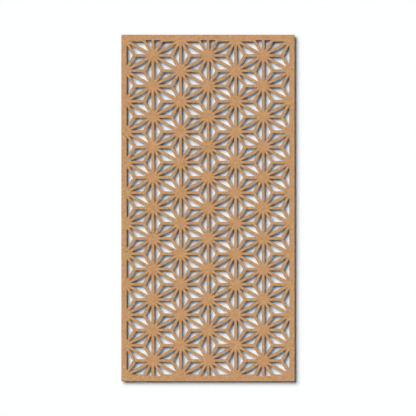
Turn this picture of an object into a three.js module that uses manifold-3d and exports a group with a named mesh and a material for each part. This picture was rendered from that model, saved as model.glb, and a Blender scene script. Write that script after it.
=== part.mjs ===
// A mashrabiya screen panel: one flat board of MDF, cut right through by laser with a lattice of
// twelve-rayed stars, and a plain border left uncut round it.
//
// Millimetres, +Z up. The front faces -Y. The origin is the centre of the back face, which lies flat
// against whatever the panel is fixed to, and falls on the star in the middle of the lattice.
//
// Stars stand in upright columns, and each column is half a row higher or lower than the next, so
// that neighbouring stars are the corners of triangles. A rib runs along every side of a triangle, and
// three more run from its corners to its middle. What is left between the ribs is cut out. A star is
// where twelve ribs run together: its solid heart comes from the width of the ribs alone.

import * as THREE from "three";
import { mergeGeometries, mergeVertices } from "three/addons/utils/BufferGeometryUtils.js";
import Module from "manifold-3d";

// The board
const PANEL_WIDTH = 600;
const PANEL_HEIGHT = 1200;
const PANEL_THICKNESS = 6;

// The border: upright stiles at the sides, and level rails at the top and bottom
const STILE_WIDTH = 18.5;
const RAIL_WIDTH = 19;

// The lattice: how many spaces between columns, how many rows of stars, and the width of every rib
const COLUMN_SPACES = 6;
const STAR_ROWS = 11;
const RIB_WIDTH = 9.9;

// Two corners nearer than this are one corner
const SAME_POINT = 1e-4;

// How far the cuts run past each face of the board, so that they go right through
const OVERCUT = 1;

const MDF = new THREE.MeshStandardMaterial({ name: "mdf", color: 0xc2966a, roughness: 0.82, metalness: 0 });

// The outermost upright ribs are flush with the stiles, so their centre lines lie half a rib inside them.
// The rails start at the centre lines of the topmost and lowest level ribs.
const latticeHalfWidth = PANEL_WIDTH / 2 - STILE_WIDTH + RIB_WIDTH / 2;
const latticeHalfHeight = PANEL_HEIGHT / 2 - RAIL_WIDTH;
const columnSpacing = (2 * latticeHalfWidth) / COLUMN_SPACES;
const halfRow = latticeHalfHeight / STAR_ROWS;

// The centre of a star. Columns count from the left, and half rows from the bottom rail.
function star(column, halfRows) {
  return new THREE.Vector2(
    column * columnSpacing - latticeHalfWidth,
    halfRows * halfRow - latticeHalfHeight,
  );
}

// The triangles of stars in the space to the right of a column. Every other one has its upright side
// in that column, and the rest have it in the next. The first and last are half hidden by the rails.
function trianglesRightOf(column) {
  const triangles = [];
  for (let low = -1; low < 2 * STAR_ROWS; low++) {
    const sideIsHere = (column + low) % 2 === 0;
    const side = sideIsHere ? column : column + 1;
    const point = sideIsHere ? column + 1 : column;
    triangles.push([star(side, low), star(side, low + 2), star(point, low + 1)]);
  }
  return triangles;
}

// The three parts of a triangle, each between one side and the middle
function partsOf([a, b, c]) {
  const middle = new THREE.Vector2().add(a).add(b).add(c).divideScalar(3);
  return [
    [a, b, middle],
    [b, c, middle],
    [c, a, middle],
  ];
}

// A triangle with every side moved in by a distance, or null if nothing is left of it. It shrinks
// towards the centre of the circle that touches its three sides.
function movedIn([a, b, c], distance) {
  const [sideA, sideB, sideC] = [b.distanceTo(c), c.distanceTo(a), a.distanceTo(b)];
  const around = sideA + sideB + sideC;
  const twiceArea = Math.abs(b.clone().sub(a).cross(c.clone().sub(a)));
  const radius = twiceArea / around;
  if (radius <= distance) return null;
  const centre = new THREE.Vector2()
    .addScaledVector(a, sideA / around)
    .addScaledVector(b, sideB / around)
    .addScaledVector(c, sideC / around);
  return [a, b, c].map((corner) => centre.clone().lerp(corner, 1 - distance / radius));
}

// What of an outline lies on the inner side of a level line: below it for side 1, above it for side -1
function cutAtLevel(corners, level, side) {
  const inside = (p) => side * (level - p.y) >= 0;
  const kept = [];
  corners.forEach((here, i) => {
    const next = corners[(i + 1) % corners.length];
    if (inside(here)) kept.push(here);
    if (inside(here) !== inside(next)) {
      kept.push(here.clone().lerp(next, (level - here.y) / (next.y - here.y)));
    }
  });
  return kept.filter((p, i) => p.distanceTo(kept[(i + 1) % kept.length]) > SAME_POINT);
}

// One opening for each part of each triangle: half a rib is left along every side, and the rails stay whole
function openings() {
  const found = [];
  for (let column = 0; column < COLUMN_SPACES; column++) {
    for (const part of trianglesRightOf(column).flatMap(partsOf)) {
      const cleared = movedIn(part, RIB_WIDTH / 2);
      if (!cleared) continue;
      const belowTopRail = cutAtLevel(cleared, latticeHalfHeight, 1);
      const outline = cutAtLevel(belowTopRail, -latticeHalfHeight, -1);
      if (outline.length >= 3) found.push(outline);
    }
  }
  return found;
}

// A closed geometry as a manifold-3d solid
function solidOf(geometry) {
  const bare = geometry.clone();
  bare.deleteAttribute("normal");
  bare.deleteAttribute("uv");
  const merged = mergeVertices(bare);
  return new wasm.Manifold(
    new wasm.Mesh({
      numProp: 3,
      vertProperties: merged.attributes.position.array,
      triVerts: new Uint32Array(merged.index.array),
    }),
  );
}

// A manifold-3d solid as a geometry
function geometryOf(solid) {
  const mesh = solid.getMesh();
  const geometry = new THREE.BufferGeometry();
  geometry.setAttribute("position", new THREE.BufferAttribute(mesh.vertProperties, 3));
  geometry.setIndex(new THREE.BufferAttribute(mesh.triVerts, 1));
  return geometry.toNonIndexed();
}

// The piece of board that falls out of an opening, a little longer than the board is thick
function wastePiece(outline) {
  const depth = PANEL_THICKNESS + 2 * OVERCUT;
  const piece = new THREE.ExtrudeGeometry(new THREE.Shape(outline), { depth, bevelEnabled: false });
  return piece.translate(0, 0, -OVERCUT);
}

// The board lying on its back face, with every opening cut through it
function cutBoard() {
  const board = new THREE.BoxGeometry(PANEL_WIDTH, PANEL_HEIGHT, PANEL_THICKNESS);
  board.translate(0, 0, PANEL_THICKNESS / 2);
  const waste = mergeGeometries(openings().map(wastePiece));
  return geometryOf(solidOf(board).subtract(solidOf(waste)));
}

const wasm = await Module();
wasm.setup();

const screenPanel = new THREE.Mesh(cutBoard(), MDF);
screenPanel.name = "screen_panel";
// This stands the board up, with its thickness running forward from the back face
screenPanel.rotation.x = Math.PI / 2;
screenPanel.geometry.computeVertexNormals();

const screen = new THREE.Group();
screen.add(screenPanel);

export default screen;
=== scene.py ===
"""A mashrabiya screen panel of laser-cut MDF, shown close in front of a white wall.

Metres, with Z up. The front of the panel faces -Y, and the origin is the centre of its back face.
"""

import math

import bpy
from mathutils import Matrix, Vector


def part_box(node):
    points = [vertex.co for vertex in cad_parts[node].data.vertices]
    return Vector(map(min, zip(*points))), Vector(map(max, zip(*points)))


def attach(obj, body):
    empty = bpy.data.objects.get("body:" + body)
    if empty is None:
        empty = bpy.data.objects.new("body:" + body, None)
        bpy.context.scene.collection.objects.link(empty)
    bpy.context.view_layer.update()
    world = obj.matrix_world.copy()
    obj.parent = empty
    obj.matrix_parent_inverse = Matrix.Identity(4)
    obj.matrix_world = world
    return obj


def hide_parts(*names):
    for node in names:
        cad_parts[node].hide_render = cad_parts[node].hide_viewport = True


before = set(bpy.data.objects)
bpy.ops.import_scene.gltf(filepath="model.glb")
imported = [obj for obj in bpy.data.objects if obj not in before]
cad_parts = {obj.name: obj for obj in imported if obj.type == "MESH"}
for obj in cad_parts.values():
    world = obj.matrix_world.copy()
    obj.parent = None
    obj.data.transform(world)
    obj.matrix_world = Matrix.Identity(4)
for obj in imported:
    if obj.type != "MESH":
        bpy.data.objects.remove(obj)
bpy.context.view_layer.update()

# The board's outside and its thickness come from the frame
board_low, board_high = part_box("screen_panel")
PANEL_WIDTH = board_high[0] - board_low[0]
PANEL_HEIGHT = board_high[2] - board_low[2]
FRONT = board_low[1]
PANEL_THICKNESS = board_high[1] - board_low[1]

# The border and the lattice
STILE_WIDTH = 0.0185
RAIL_WIDTH = 0.019
RIB_WIDTH = 0.0099
COLUMN_SPACES = 6
STAR_ROWS = 11

# The outermost upright ribs are flush with the stiles, and the rails start at the level ribs' centre lines
LATTICE_HALF_WIDTH = PANEL_WIDTH / 2 - STILE_WIDTH + RIB_WIDTH / 2
LATTICE_HALF_HEIGHT = PANEL_HEIGHT / 2 - RAIL_WIDTH
COLUMN_SPACING = 2 * LATTICE_HALF_WIDTH / COLUMN_SPACES
HALF_ROW = LATTICE_HALF_HEIGHT / STAR_ROWS

# The laser browns the face faintly for this far beside a cut
SCORCH_WIDTH = 0.0012

# Sanding breaks each sharp edge by this much
ARRIS = 0.0002

# The patterns are so fine that their sizes are given in millimetres
MM = 0.001

# The patterns of the sanded face: soft flecks, bundles of fibre, a slow drift in colour and specks of bark
FLECK_SIZE = 7 * MM
FIBRE_SIZE = 2.5 * MM
DRIFT_SIZE = 30 * MM
SPECK_SIZE = 0.9 * MM

# How far the fibres stand out
FIBRE_RELIEF = 0.15 * MM

# The stripes on the walls of a cut: their width and depth, and how slowly they change through the board
STRIPE_SIZE = 1.2 * MM
STRIPE_RELIEF = 0.1 * MM
STRIPE_PACE = 0.12

# The colours of MDF, sanded and cut
DARK_FLECK = "996e42"
LIGHT_FLECK = "dcb37e"
DARK_FIBRE = "a07044"
REDDISH_DRIFT = "bf8d6a"
BARK = "6e4a2b"
SCORCHED_FACE = "7a5230"
DARK_STRIPE = "54361f"
LIGHT_STRIPE = "7d5835"

# The most that the fibres, the drift, the bark and the scorch hide of the flecks
FIBRE_SHARE = 0.5
DRIFT_SHARE = 0.5
SPECK_SHARE = 0.4
SCORCH_SHARE = 0.3

# A noise seldom leaves this range, so the range makes a whole change of tone
NOISE_LOW = 0.3
NOISE_HIGH = 0.7

# The fibres change tone faster, and only the peaks of a noise make specks
FIBRE_LOW = 0.35
FIBRE_HIGH = 0.65
SPECK_LOW = 0.6
SPECK_HIGH = 0.72

# MDF is matt: the fibres a little less than what lies between them, and the toasted walls less again
ROUGHEST = 0.86
SMOOTHEST = 0.76
CUT_ROUGHNESS = 0.7
MDF_IOR = 1.46
MDF_SPECULAR = 0.3

# Two points nearer than this are one point
SAME_POINT = 1e-5

# The camera looks straight at the middle of the panel through a long lens, from this far in front of it
CAMERA_DISTANCE = 16.0
LENS_MM = 400
SENSOR_MM = 36

# The wall and the floor
WALL_GAP = 0.0115
WALL_HALF_WIDTH = 2.2
WALL_TOP = 1.6
FLOOR_LEVEL = -1.2
FLOOR_HALF_SIDE = 14.0

# The key light comes from the upper left and throws the panel's shadow on the wall. Each light's travel is
# how far right, back and up it goes.
KEY_TRAVEL = (0.59, 1, -0.56)
KEY_STRENGTH = 4.36
KEY_SPREAD_DEGREES = 44

# A weak, cool and very broad light from the front keeps the shadow from going black
FILL_TRAVEL = (0, 1, -0.1)
FILL_STRENGTH = 0.15
FILL_SPREAD_DEGREES = 120

# A light from behind, above and the right, for the back, the floor and the cut walls that face right
REAR_TRAVEL = (-0.5, -1, -0.45)
REAR_STRENGTH = 4.25
REAR_SPREAD_DEGREES = 44

# Only a far light's direction counts, so it is simply put this many times its travel before the panel
LIGHT_SETBACK = 4

WHITE = "ffffff"
COOL_WHITE = "d0e5ff"
WALL_WHITE = "f3f3f3"
FLOOR_GREY = "e8e8e7"
SURROUNDING_WHITE = "f2f2f2"

# The panel's first material slot is for the sanded faces, and its second is for what the laser cut
FACE_SLOT = 0
CUT_SLOT = 1

# A face with more than this of its normal along Y is the front or the back
FLAT = 0.99

# A Mix node has one pair of inputs and one output for each kind of data: these are the colour ones
MIX_A = 6
MIX_B = 7
MIX_RESULT = 2

# Where a point keeps its X and its Y
X = 0
Y = 1


def linear(hex_colour):
    """Turns an sRGB hex colour into linear red, green, blue and alpha."""
    channels = [int(hex_colour[i : i + 2], 16) / 255 for i in (0, 2, 4)]
    return [c / 12.92 if c <= 0.04045 else ((c + 0.055) / 1.055) ** 2.4 for c in channels] + [1.0]


def add_node(tree, kind, settings, inputs):
    """Adds a node, sets what it is set to, and gives its inputs their values or links."""
    node = tree.nodes.new(kind)
    for name, value in settings.items():
        setattr(node, name, value)
    for name, value in inputs.items():
        if isinstance(value, bpy.types.NodeSocket):
            tree.links.new(value, node.inputs[name])
        else:
            node.inputs[name].default_value = value
    return node


def new_material(name):
    """A material with an empty node tree, and that tree."""
    material = bpy.data.materials.new(name)
    material.use_nodes = True
    material.node_tree.nodes.clear()
    return material, material.node_tree


def sanded_mdf():
    """Sanded MDF: a matt tan face, mottled by its matted fibres, and a little browner by each cut."""
    material, tree = new_material("sanded_mdf")
    place = add_node(tree, "ShaderNodeTexCoord", {}, {}).outputs["Object"]
    # Mats of fibre show as soft flecks, lighter and darker
    flecks = add_node(
        tree,
        "ShaderNodeTexNoise",
        {},
        {"Vector": place, "Scale": 1 / FLECK_SIZE, "Detail": 5.0, "Roughness": 0.6, "Distortion": 0.5},
    )
    # Bundles of fibre. A single one is a tenth of this size, and would not show from across a room.
    fibres = add_node(
        tree,
        "ShaderNodeTexNoise",
        {},
        {"Vector": place, "Scale": 1 / FIBRE_SIZE, "Detail": 3.0, "Roughness": 0.6, "Distortion": 1.5},
    )
    # The board's colour drifts slowly, as the batches of wood in it do
    drift = add_node(
        tree,
        "ShaderNodeTexNoise",
        {},
        {"Vector": place, "Scale": 1 / DRIFT_SIZE, "Detail": 2.0, "Roughness": 0.5},
    )
    fleck_tone = add_node(
        tree,
        "ShaderNodeMapRange",
        {},
        {"Value": flecks.outputs["Fac"], "From Min": NOISE_LOW, "From Max": NOISE_HIGH},
    )
    fibre_tone = add_node(
        tree,
        "ShaderNodeMapRange",
        {},
        {
            "Value": fibres.outputs["Fac"],
            "From Min": FIBRE_LOW,
            "From Max": FIBRE_HIGH,
            "To Max": FIBRE_SHARE,
        },
    )
    drift_tone = add_node(
        tree,
        "ShaderNodeMapRange",
        {},
        {
            "Value": drift.outputs["Fac"],
            "From Min": NOISE_LOW,
            "From Max": NOISE_HIGH,
            "To Max": DRIFT_SHARE,
        },
    )
    fleck_colour = add_node(
        tree,
        "ShaderNodeMix",
        {"data_type": "RGBA"},
        {0: fleck_tone.outputs["Result"], MIX_A: linear(DARK_FLECK), MIX_B: linear(LIGHT_FLECK)},
    )
    fibre_colour = add_node(
        tree,
        "ShaderNodeMix",
        {"data_type": "RGBA"},
        {
            0: fibre_tone.outputs["Result"],
            MIX_A: fleck_colour.outputs[MIX_RESULT],
            MIX_B: linear(DARK_FIBRE),
        },
    )
    drift_colour = add_node(
        tree,
        "ShaderNodeMix",
        {"data_type": "RGBA"},
        {
            0: drift_tone.outputs["Result"],
            MIX_A: fibre_colour.outputs[MIX_RESULT],
            MIX_B: linear(REDDISH_DRIFT),
        },
    )
    # Specks of bark, the size of a pinhead and smaller, are scattered all over
    specks = add_node(
        tree,
        "ShaderNodeTexNoise",
        {},
        {"Vector": place, "Scale": 1 / SPECK_SIZE, "Detail": 1.0, "Roughness": 0.5, "Distortion": 2.0},
    )
    speck_tone = add_node(
        tree,
        "ShaderNodeMapRange",
        {},
        {
            "Value": specks.outputs["Fac"],
            "From Min": SPECK_LOW,
            "From Max": SPECK_HIGH,
            "To Max": SPECK_SHARE,
        },
    )
    speck_colour = add_node(
        tree,
        "ShaderNodeMix",
        {"data_type": "RGBA"},
        {
            0: speck_tone.outputs["Result"],
            MIX_A: drift_colour.outputs[MIX_RESULT],
            MIX_B: linear(BARK),
        },
    )
    scorch = add_node(tree, "ShaderNodeAttribute", {"attribute_name": "scorch"}, {})
    scorch_share = add_node(
        tree,
        "ShaderNodeMath",
        {"operation": "MULTIPLY"},
        {0: scorch.outputs["Fac"], 1: SCORCH_SHARE},
    )
    colour = add_node(
        tree,
        "ShaderNodeMix",
        {"data_type": "RGBA"},
        {
            0: scorch_share.outputs[0],
            MIX_A: speck_colour.outputs[MIX_RESULT],
            MIX_B: linear(SCORCHED_FACE),
        },
    )
    roughness = add_node(
        tree,
        "ShaderNodeMapRange",
        {},
        {
            "Value": fibres.outputs["Fac"],
            "From Min": FIBRE_LOW,
            "From Max": FIBRE_HIGH,
            "To Min": ROUGHEST,
            "To Max": SMOOTHEST,
        },
    )
    bump = add_node(
        tree,
        "ShaderNodeBump",
        {},
        {"Strength": 0.25, "Distance": FIBRE_RELIEF, "Height": fibres.outputs["Fac"]},
    )
    shader = add_node(
        tree,
        "ShaderNodeBsdfPrincipled",
        {},
        {
            "Base Color": colour.outputs[MIX_RESULT],
            "Roughness": roughness.outputs["Result"],
            "IOR": MDF_IOR,
            "Specular IOR Level": MDF_SPECULAR,
            "Normal": bump.outputs["Normal"],
        },
    )
    add_node(tree, "ShaderNodeOutputMaterial", {}, {"Surface": shader.outputs["BSDF"]})
    return material


def laser_cut_mdf():
    """The wall of a laser cut in MDF: toasted brown, with fine stripes that run through the board."""
    material, tree = new_material("laser_cut_mdf")
    place = add_node(tree, "ShaderNodeTexCoord", {}, {}).outputs["Object"]
    # The stripes are long through the board, along Y, and narrow along the wall
    stretched = add_node(tree, "ShaderNodeMapping", {}, {"Vector": place, "Scale": (1, STRIPE_PACE, 1)})
    stripes = add_node(
        tree,
        "ShaderNodeTexNoise",
        {},
        {"Vector": stretched.outputs["Vector"], "Scale": 1 / STRIPE_SIZE, "Detail": 2.0, "Roughness": 0.5},
    )
    tone = add_node(
        tree,
        "ShaderNodeMapRange",
        {},
        {"Value": stripes.outputs["Fac"], "From Min": NOISE_LOW, "From Max": NOISE_HIGH},
    )
    colour = add_node(
        tree,
        "ShaderNodeMix",
        {"data_type": "RGBA"},
        {0: tone.outputs["Result"], MIX_A: linear(DARK_STRIPE), MIX_B: linear(LIGHT_STRIPE)},
    )
    bump = add_node(
        tree,
        "ShaderNodeBump",
        {},
        {"Strength": 0.3, "Distance": STRIPE_RELIEF, "Height": stripes.outputs["Fac"]},
    )
    shader = add_node(
        tree,
        "ShaderNodeBsdfPrincipled",
        {},
        {
            "Base Color": colour.outputs[MIX_RESULT],
            "Roughness": CUT_ROUGHNESS,
            "IOR": MDF_IOR,
            "Specular IOR Level": MDF_SPECULAR,
            "Normal": bump.outputs["Normal"],
        },
    )
    add_node(tree, "ShaderNodeOutputMaterial", {}, {"Surface": shader.outputs["BSDF"]})
    return material


def white_wall_paint():
    """Matt white paint. The wall's far side is left clear, so that it doesn't hide the panel's back."""
    material, tree = new_material("white_wall_paint")
    paint = add_node(tree, "ShaderNodeBsdfDiffuse", {}, {"Color": linear(WALL_WHITE)})
    clear = add_node(tree, "ShaderNodeBsdfTransparent", {}, {})
    side = add_node(tree, "ShaderNodeNewGeometry", {}, {})
    surface = add_node(
        tree,
        "ShaderNodeMixShader",
        {},
        {0: side.outputs["Backfacing"], 1: paint.outputs["BSDF"], 2: clear.outputs["BSDF"]},
    )
    add_node(tree, "ShaderNodeOutputMaterial", {}, {"Surface": surface.outputs["Shader"]})
    return material


def pale_floor_paint():
    """Matt, very pale grey floor paint."""
    material, tree = new_material("pale_floor_paint")
    paint = add_node(tree, "ShaderNodeBsdfDiffuse", {}, {"Color": linear(FLOOR_GREY)})
    add_node(tree, "ShaderNodeOutputMaterial", {}, {"Surface": paint.outputs["BSDF"]})
    return material


def deselect_all():
    """Leaves no object selected."""
    bpy.ops.object.select_all(action="DESELECT")


def edit(piece):
    """Makes a piece the only one selected, and opens it in edit mode with everything in it selected."""
    deselect_all()
    bpy.context.view_layer.objects.active = piece
    piece.select_set(True)
    bpy.ops.object.mode_set(mode="EDIT")
    bpy.ops.mesh.select_all(action="SELECT")


def close_edit():
    """Goes back to object mode."""
    bpy.ops.object.mode_set(mode="OBJECT")


def apply(piece, kind, settings):
    """Adds a modifier with its settings and applies it."""
    modifier = piece.modifiers.new(kind.title(), kind)
    for name, value in settings.items():
        setattr(modifier, name, value)
    deselect_all()
    bpy.context.view_layer.objects.active = piece
    piece.select_set(True)
    bpy.ops.object.modifier_apply(modifier=modifier.name)


def repeat(piece, count, step):
    """Makes a row of a piece, each copy one step on from the last and joined to it."""
    settings = {
        "use_relative_offset": False,
        "use_constant_offset": True,
        "constant_offset_displace": step,
        "count": count,
        "use_merge_vertices": True,
    }
    apply(piece, "ARRAY", settings)


def select_only(piece, wanted):
    """In object mode, selects the edges whose two ends pass a test, and nothing else."""
    mesh = piece.data
    for item in (*mesh.vertices, *mesh.edges, *mesh.polygons):
        item.select = False
    for edge in mesh.edges:
        ends = [mesh.vertices[v] for v in edge.vertices]
        if all(wanted(end.co) for end in ends):
            edge.select = True
            for end in ends:
                end.select = True


def extrude_side(sheet, axis, level, length):
    """Extrudes outwards the edges along one side of a flat sheet, found by its level in X or in Y."""
    select_only(sheet, lambda point: abs(point[axis] - level) < SAME_POINT)
    move = Vector((0, 0, 0))
    move[axis] = math.copysign(length, level)
    bpy.ops.object.mode_set(mode="EDIT")
    bpy.ops.mesh.select_mode(type="EDGE")
    bpy.ops.mesh.extrude_edges_move(TRANSFORM_OT_translate={"value": move})
    close_edit()


def select_slot(piece, slot):
    """In edit mode, selects the faces in one material slot, and nothing else."""
    bpy.ops.mesh.select_mode(type="FACE")
    bpy.ops.mesh.select_all(action="DESELECT")
    piece.active_material_index = slot
    bpy.ops.object.material_slot_select()


def star_triangles():
    """A flat sheet of triangles with a star at each corner, lying face up and running past both rails."""
    # The first triangle has its upright side on the middle column, and is centred on the lower rail's edge
    deselect_all()
    bpy.ops.mesh.primitive_circle_add(
        vertices=3,
        radius=2 * HALF_ROW / math.sqrt(3),
        fill_type="NGON",
        location=(COLUMN_SPACING / 3, -LATTICE_HALF_HEIGHT, PANEL_THICKNESS),
        rotation=(0, 0, math.radians(-90)),
    )
    sheet = bpy.context.object
    sheet.name = "mdf_screen_panel"
    # The triangle is equilateral until it is stretched across the panel, which is along its own Y
    sheet.scale.y = COLUMN_SPACING / (HALF_ROW * math.sqrt(3))
    bpy.ops.object.transform_apply(location=True, rotation=True, scale=True)
    # A second one, half turned, fits above it, with its upright side on the next column
    edit(sheet)
    bpy.ops.mesh.duplicate()
    bpy.ops.transform.rotate(
        value=math.pi,
        orient_axis="Z",
        center_override=(COLUMN_SPACING / 2, HALF_ROW / 2 - LATTICE_HALF_HEIGHT, 0),
    )
    close_edit()
    # The pair repeats up the column, is mirrored to the left, and repeats across the panel
    repeat(sheet, STAR_ROWS + 1, (0, 2 * HALF_ROW, 0))
    apply(sheet, "MIRROR", {"use_axis": (True, False, False)})
    column_pairs = COLUMN_SPACES // 2
    repeat(sheet, column_pairs, (2 * COLUMN_SPACING, 0, 0))
    edit(sheet)
    bpy.ops.transform.translate(value=((1 - column_pairs) * COLUMN_SPACING, 0, 0))
    bpy.ops.mesh.remove_doubles(threshold=SAME_POINT)
    close_edit()
    return sheet


def cut_lattice(sheet):
    """Draws the ribs on the sheet, and leaves what is to be cut out in the second material slot."""
    edit(sheet)
    # Each triangle becomes three, which meet in its middle, and a rib is left along each of their sides
    bpy.ops.mesh.poke(center_mode="MEDIAN")
    bpy.ops.mesh.inset(thickness=RIB_WIDTH / 2, use_individual=True, use_even_offset=True)
    sheet.active_material_index = CUT_SLOT
    bpy.ops.object.material_slot_assign()
    # The rails cut the pattern off, level
    for side in (1, -1):
        bpy.ops.mesh.select_all(action="SELECT")
        bpy.ops.mesh.bisect(
            plane_co=(0, side * LATTICE_HALF_HEIGHT, 0),
            plane_no=(0, side, 0),
            clear_outer=True,
            threshold=SAME_POINT,
        )
    close_edit()


def add_border(sheet):
    """Grows the stiles and then the rails out of the lattice's sides, and takes the cut-outs away."""
    stile = PANEL_WIDTH / 2 - LATTICE_HALF_WIDTH
    for side in (1, -1):
        extrude_side(sheet, X, side * LATTICE_HALF_WIDTH, stile)
    for side in (1, -1):
        extrude_side(sheet, Y, side * LATTICE_HALF_HEIGHT, RAIL_WIDTH)
    # Where a rail grew out of a cut-out, it took the cut-out's slot
    for face in sheet.data.polygons:
        if abs(face.center.y) > LATTICE_HALF_HEIGHT:
            face.material_index = FACE_SLOT
    edit(sheet)
    select_slot(sheet, CUT_SLOT)
    bpy.ops.mesh.delete(type="FACE")
    close_edit()


def give_thickness(panel):
    """Makes the sheet a board with browned cut walls, and breaks its sharp edges."""
    # A narrow band beside every cut is marked off first, for the scorch
    edit(panel)
    bpy.ops.mesh.inset(thickness=SCORCH_WIDTH, use_boundary=True, use_even_offset=True)
    close_edit()
    apply(panel, "SOLIDIFY", {"thickness": PANEL_THICKNESS, "offset": -1, "material_offset_rim": CUT_SLOT})
    # The cut walls end at the sharp edges of both faces
    edit(panel)
    select_slot(panel, CUT_SLOT)
    bpy.ops.mesh.region_to_loop()
    bpy.ops.mesh.bevel(offset=ARRIS, segments=1, affect="EDGES", clamp_overlap=False, material=FACE_SLOT)
    bpy.ops.mesh.select_all(action="SELECT")
    bpy.ops.mesh.normals_make_consistent(inside=False)
    close_edit()


def mark_scorch(panel):
    """Marks the points on and beside the cuts, so that the face can darken towards them."""
    scorched = set()
    for face in panel.data.polygons:
        if abs(face.normal.y) < FLAT:
            scorched.update(face.vertices)
    mark = panel.data.attributes.new("scorch", "FLOAT", "POINT")
    for v in panel.data.vertices:
        mark.data[v.index].value = 1.0 if v.index in scorched else 0.0


def screen_panel():
    """The whole board: lattice, border, cut walls and broken edges."""
    panel = star_triangles()
    panel.data.materials.append(sanded_mdf())
    panel.data.materials.append(laser_cut_mdf())
    cut_lattice(panel)
    add_border(panel)
    give_thickness(panel)
    # It was made lying face up, and now stands with its front to -Y
    panel.rotation_euler.x = math.radians(90)
    deselect_all()
    panel.select_set(True)
    bpy.context.view_layer.objects.active = panel
    bpy.ops.object.transform_apply(location=True, rotation=True, scale=True)
    mark_scorch(panel)
    # The wall close behind it would pick up its colour, and the shadow in the photograph is grey
    panel.visible_diffuse = False
    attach(panel, "root")
    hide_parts("screen_panel")


def wall():
    """The white wall that the panel stands close in front of."""
    deselect_all()
    height = WALL_TOP - FLOOR_LEVEL
    bpy.ops.mesh.primitive_plane_add(
        size=1,
        location=(0, WALL_GAP, FLOOR_LEVEL + height / 2),
        rotation=(math.radians(90), 0, 0),
    )
    made = bpy.context.object
    made.name = "white_wall"
    made.scale = (2 * WALL_HALF_WIDTH, height, 1)
    bpy.ops.object.transform_apply(location=True, rotation=True, scale=True)
    made.data.materials.append(white_wall_paint())
    # The rear light reaches the panel's back and the floor in front through it
    made.visible_shadow = False
    # Light thrown back by it would brighten the backs of the ribs, and leave the hearts of the stars dark
    made.visible_diffuse = False


def floor():
    """The pale floor, below the picture."""
    deselect_all()
    bpy.ops.mesh.primitive_plane_add(size=2 * FLOOR_HALF_SIDE, location=(0, 0, FLOOR_LEVEL))
    ground = bpy.context.object
    ground.name = "pale_floor"
    bpy.ops.object.transform_apply(location=True, rotation=True, scale=True)
    ground.data.materials.append(pale_floor_paint())
    # Light thrown up by the floor would fill the shadow on the wall
    ground.visible_diffuse = False


def far_light(name, travel, strength, spread_degrees, colour):
    """A light from far off that shines along a direction. The wider its spread, the softer its shadow."""
    deselect_all()
    travel = Vector(travel)
    bpy.ops.object.light_add(type="SUN", location=-LIGHT_SETBACK * travel)
    light = bpy.context.object
    light.name = name
    light.rotation_euler = travel.to_track_quat("-Z", "Y").to_euler()
    light.data.energy = strength
    light.data.color = linear(colour)[:3]
    light.data.angle = math.radians(spread_degrees)


def white_surroundings():
    """The white seen past the wall and the floor. It lights nothing."""
    world = bpy.data.worlds.new("white_surroundings")
    bpy.context.scene.world = world
    world.use_nodes = True
    world.node_tree.nodes["Background"].inputs["Color"].default_value = linear(SURROUNDING_WHITE)
    world.cycles_visibility.diffuse = False
    world.cycles_visibility.glossy = False


def camera():
    """A camera that looks straight at the middle of the panel."""
    deselect_all()
    bpy.ops.object.camera_add(
        location=(0, FRONT - CAMERA_DISTANCE, 0),
        rotation=(math.radians(90), 0, 0),
    )
    made = bpy.context.object
    made.name = "camera"
    made.data.lens = LENS_MM
    made.data.sensor_width = SENSOR_MM
    bpy.context.scene.camera = made


camera()
screen_panel()
wall()
floor()
far_light("key_light", KEY_TRAVEL, KEY_STRENGTH, KEY_SPREAD_DEGREES, WHITE)
far_light("fill_light", FILL_TRAVEL, FILL_STRENGTH, FILL_SPREAD_DEGREES, COOL_WHITE)
far_light("rear_light", REAR_TRAVEL, REAR_STRENGTH, REAR_SPREAD_DEGREES, WHITE)
white_surroundings()

# Plain video colours, so that white is white
bpy.context.scene.view_settings.view_transform = "Standard"
